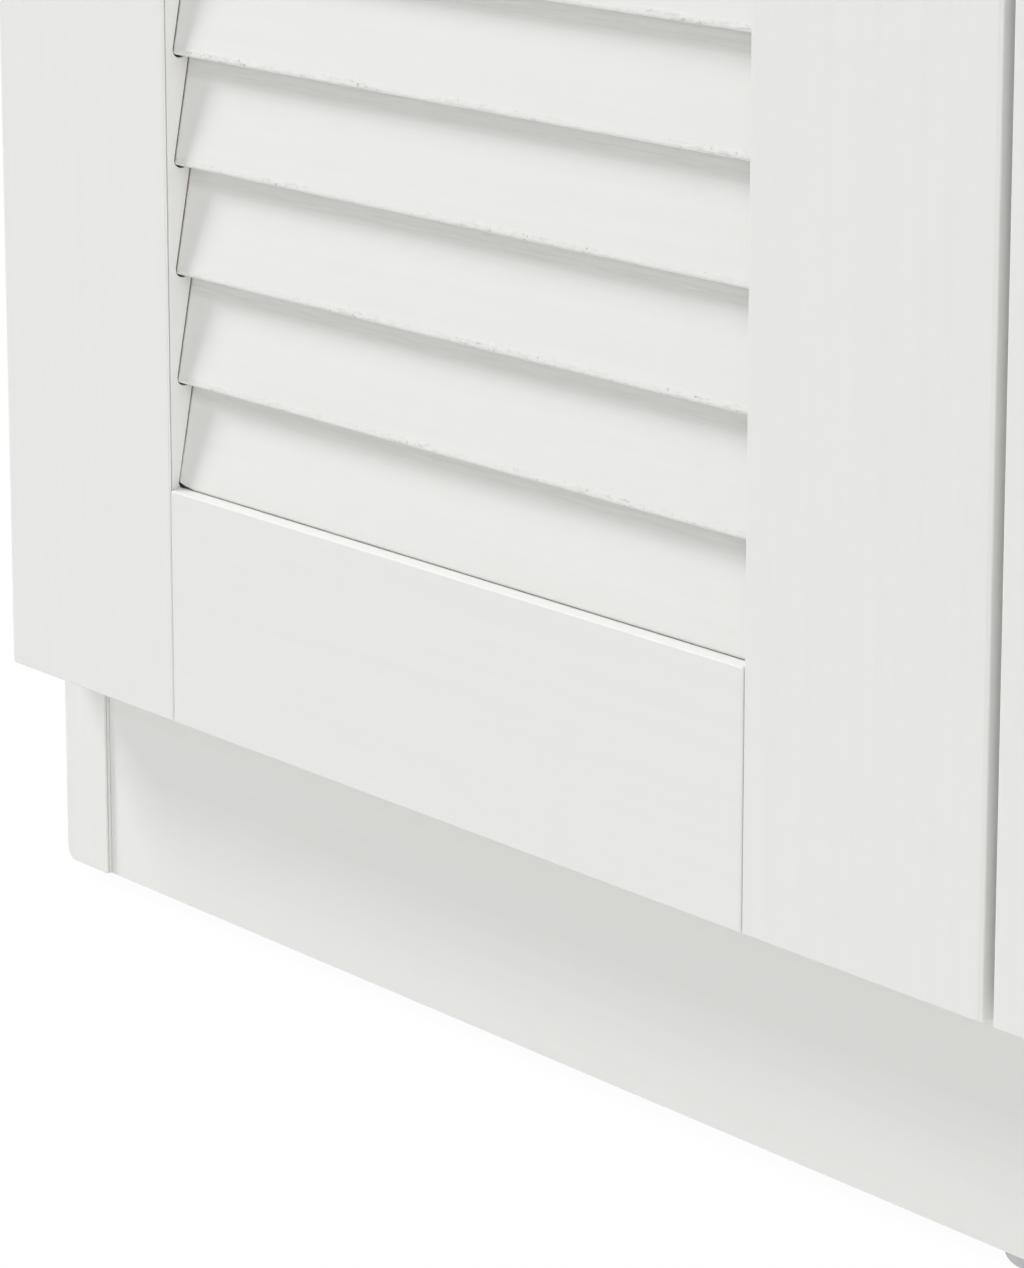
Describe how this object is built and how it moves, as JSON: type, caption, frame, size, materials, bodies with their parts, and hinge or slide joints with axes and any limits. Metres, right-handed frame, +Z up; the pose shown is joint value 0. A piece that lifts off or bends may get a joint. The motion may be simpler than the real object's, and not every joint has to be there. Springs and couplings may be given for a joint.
{
  "type": "louvred door cabinet",
  "caption": "Free-standing white painted wooden cabinet with paired louvred overlay doors, shelves on pins and a low plinth on floor glides.",
  "frame": {"origin": "on the floor, under the middle of the bounding box from the knobs to the back edges", "axes": "+Z up, -Y out of the doors, +X to the right of someone facing the doors"},
  "size_m": [0.824, 0.426, 0.9956],
  "materials": {
    "white_lacquer": "white satin lacquer over pine, faint grain",
    "coated_hardboard": "thin hardboard, white coat on the inside",
    "bare_beech": "bare beech",
    "nickel_steel": "nickel plated",
    "grey_plastic": "moulded, satin",
    "white_plastic": "moulded, satin",
    "dark_magnet": "ferrite, matt",
    "clear_rubber": "translucent soft dots"
  },
  "bodies": {
    "carcass": {"back_panel": "coated_hardboard", "back_panel_screws": "nickel_steel", "bottom_panel": "white_lacquer", "cam_bolts": "nickel_steel", "cam_housings": "nickel_steel", "carcass_dowels": "bare_beech", "catch_screws": "nickel_steel", "door_bumpers": "clear_rubber", "left_catch_housing": "white_plastic", "left_catch_magnet": "dark_magnet", "left_frame_leaf_screws": "nickel_steel", "left_lower_frame_leaf": "nickel_steel", "left_lower_hinge_pin": "nickel_steel", "left_side_panel": "white_lacquer", "left_upper_frame_leaf": "nickel_steel", "left_upper_hinge_pin": "nickel_steel", "lower_shelf": "white_lacquer", "plinth_board": "white_lacquer", "plinth_glide": "grey_plastic", "right_catch_housing": "white_plastic", "right_catch_magnet": "dark_magnet", "right_frame_leaf_screws": "nickel_steel", "right_lower_frame_leaf": "nickel_steel", "right_lower_hinge_pin": "nickel_steel", "right_side_panel": "white_lacquer", "right_upper_frame_leaf": "nickel_steel", "right_upper_hinge_pin": "nickel_steel", "shelf_pins": "nickel_steel", "side_glides": "grey_plastic", "top_panel": "white_lacquer", "upper_shelf": "white_lacquer"},
    "left_door": {"left_door_hinge_stile": "white_lacquer", "left_door_meeting_stile": "white_lacquer", "left_door_top_rail": "white_lacquer", "left_door_bottom_rail": "white_lacquer", "left_door_slats": "white_lacquer", "left_door_dowels": "bare_beech", "left_door_leaf_screws": "nickel_steel", "left_lower_door_leaf": "nickel_steel", "left_upper_door_leaf": "nickel_steel", "left_knob": "white_lacquer", "left_knob_screw": "nickel_steel", "left_strike_plate": "nickel_steel", "left_strike_screws": "nickel_steel"},
    "right_door": {"right_door_hinge_stile": "white_lacquer", "right_door_meeting_stile": "white_lacquer", "right_door_top_rail": "white_lacquer", "right_door_bottom_rail": "white_lacquer", "right_door_slats": "white_lacquer", "right_door_dowels": "bare_beech", "right_door_leaf_screws": "nickel_steel", "right_lower_door_leaf": "nickel_steel", "right_upper_door_leaf": "nickel_steel", "right_knob": "white_lacquer", "right_knob_screw": "nickel_steel", "right_strike_plate": "nickel_steel", "right_strike_screws": "nickel_steel"}
  },
  "joints": [
    {"name": "left_door_hinge", "type": "hinge", "parent": "carcass", "child": "left_door", "pos_m": [-0.4029, -0.168, 0.5], "axis": [0, 0, -1], "range_deg": [0, 175]},
    {"name": "right_door_hinge", "type": "hinge", "parent": "carcass", "child": "right_door", "pos_m": [0.4029, -0.168, 0.5], "axis": [0, 0, 1], "range_deg": [0, 175]}
  ]
}
